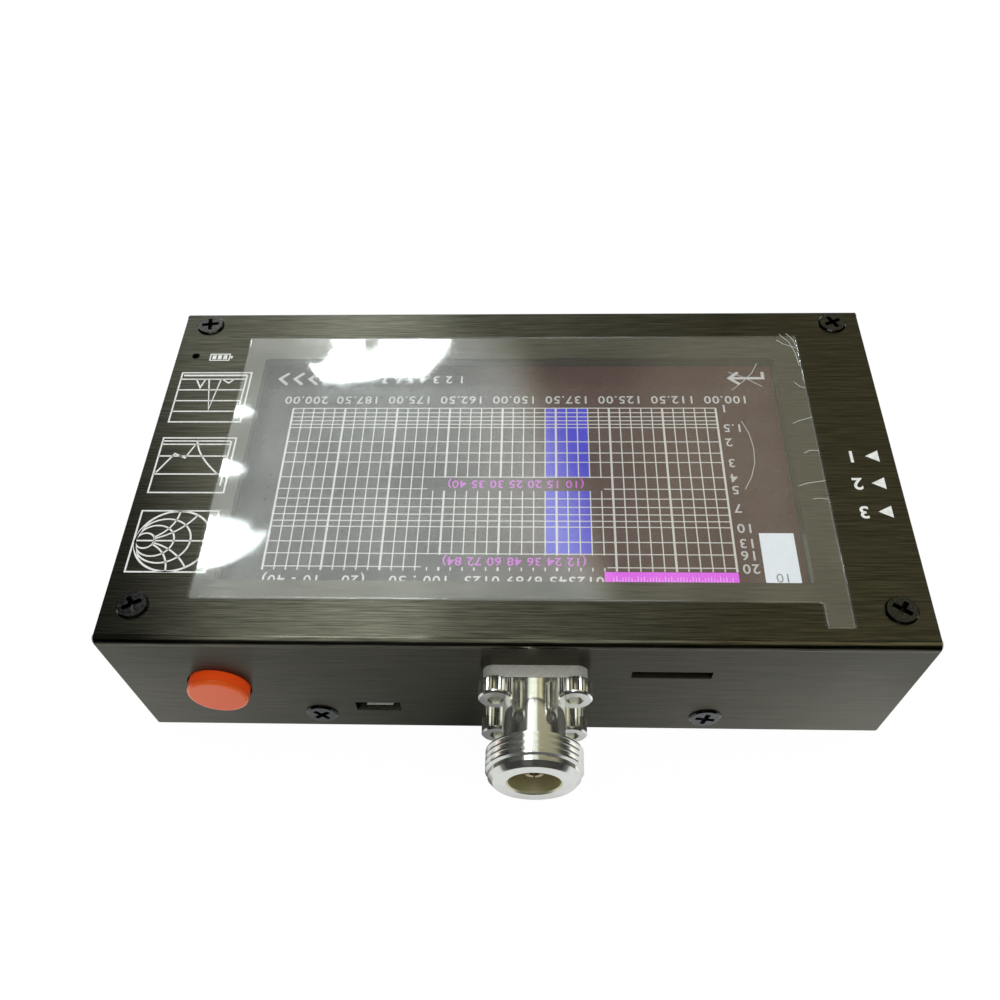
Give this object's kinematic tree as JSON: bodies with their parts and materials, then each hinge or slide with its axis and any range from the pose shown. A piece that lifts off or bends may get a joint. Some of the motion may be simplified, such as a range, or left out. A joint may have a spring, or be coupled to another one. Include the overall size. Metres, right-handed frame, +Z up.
{
  "type": "antenna analyzer",
  "caption": "Hand-held antenna analyzer: folded aluminium case, touch display under a window in the lid, threaded coaxial port, push button, charging socket and card slot in the near wall.",
  "frame": {"origin": "centre of the case's flat underside, halfway between its side edges and between its near and far walls", "axes": "+Z up, out of the display; -Y out of the near wall that holds the antenna port; +X along the near wall to the reader's right"},
  "size_m": [0.1316, 0.0951, 0.0285],
  "materials": {
    "case_sheet": "brushed along the width, dark anodised",
    "black_steel": "black oxide, satin",
    "plated_steel": "zinc plated",
    "nickel": "bright nickel plate",
    "gold_plate": "gold plate",
    "brass": "turned",
    "port_insulator": "waxy",
    "cap_plastic": "moulded, glossy",
    "black_plastic": "moulded",
    "pale_plastic": "moulded",
    "green_board": "solder mask",
    "blue_board": "solder mask",
    "chip_epoxy": "moulded",
    "tinned_steel": "tinned",
    "display_glass": "lit behind",
    "touch_glass": "gloss",
    "film": "clear, creased",
    "foam": "foam",
    "tape": "foam tape",
    "flex_film": "amber film",
    "pouch_foil": "foil laminate",
    "wire_red": "wire insulation",
    "lamp": "clear lens"
  },
  "bodies": {
    "case": {"top_shell": "case_sheet", "bottom_shell": "case_sheet", "protective_film": "film", "lid_screws": "black_steel", "case_screws": "black_steel", "case_nuts": "plated_steel", "standoffs": "brass", "board_screws": "plated_steel", "display_gasket": "foam", "touch_panel": "touch_glass", "display_frame": "tinned_steel", "display_panel": "display_glass", "display_tape": "tape", "display_flex": "flex_film", "flex_socket": "pale_plastic", "main_board": "green_board", "board_chips": "chip_epoxy", "charge_light": "lamp", "card_socket": "tinned_steel", "rf_board": "green_board", "rf_headers": "black_plastic", "rf_shield": "tinned_steel", "charger_board": "blue_board", "charger_posts": "brass", "charger_screws": "plated_steel", "charger_wires": "wire_red", "usb_socket": "tinned_steel", "battery": "pouch_foil", "battery_pad": "foam", "battery_lead": "wire_red", "battery_plug": "pale_plastic", "battery_socket": "pale_plastic", "port_body": "nickel", "port_insulator": "port_insulator", "port_contact": "gold_plate", "port_screws": "nickel", "port_nuts": "plated_steel", "power_switch": "black_plastic", "switch_spring": "plated_steel"},
    "power_button": {"power_plunger": "pale_plastic", "power_cap": "cap_plastic"}
  },
  "joints": [
    {"name": "button_press", "type": "slide", "parent": "case", "child": "power_button", "axis": [0, 1, 0], "range_m": [0, 0.0018], "stiffness_N_per_m": 400, "springref_m": -0.001, "deforming": ["switch_spring"]}
  ]
}
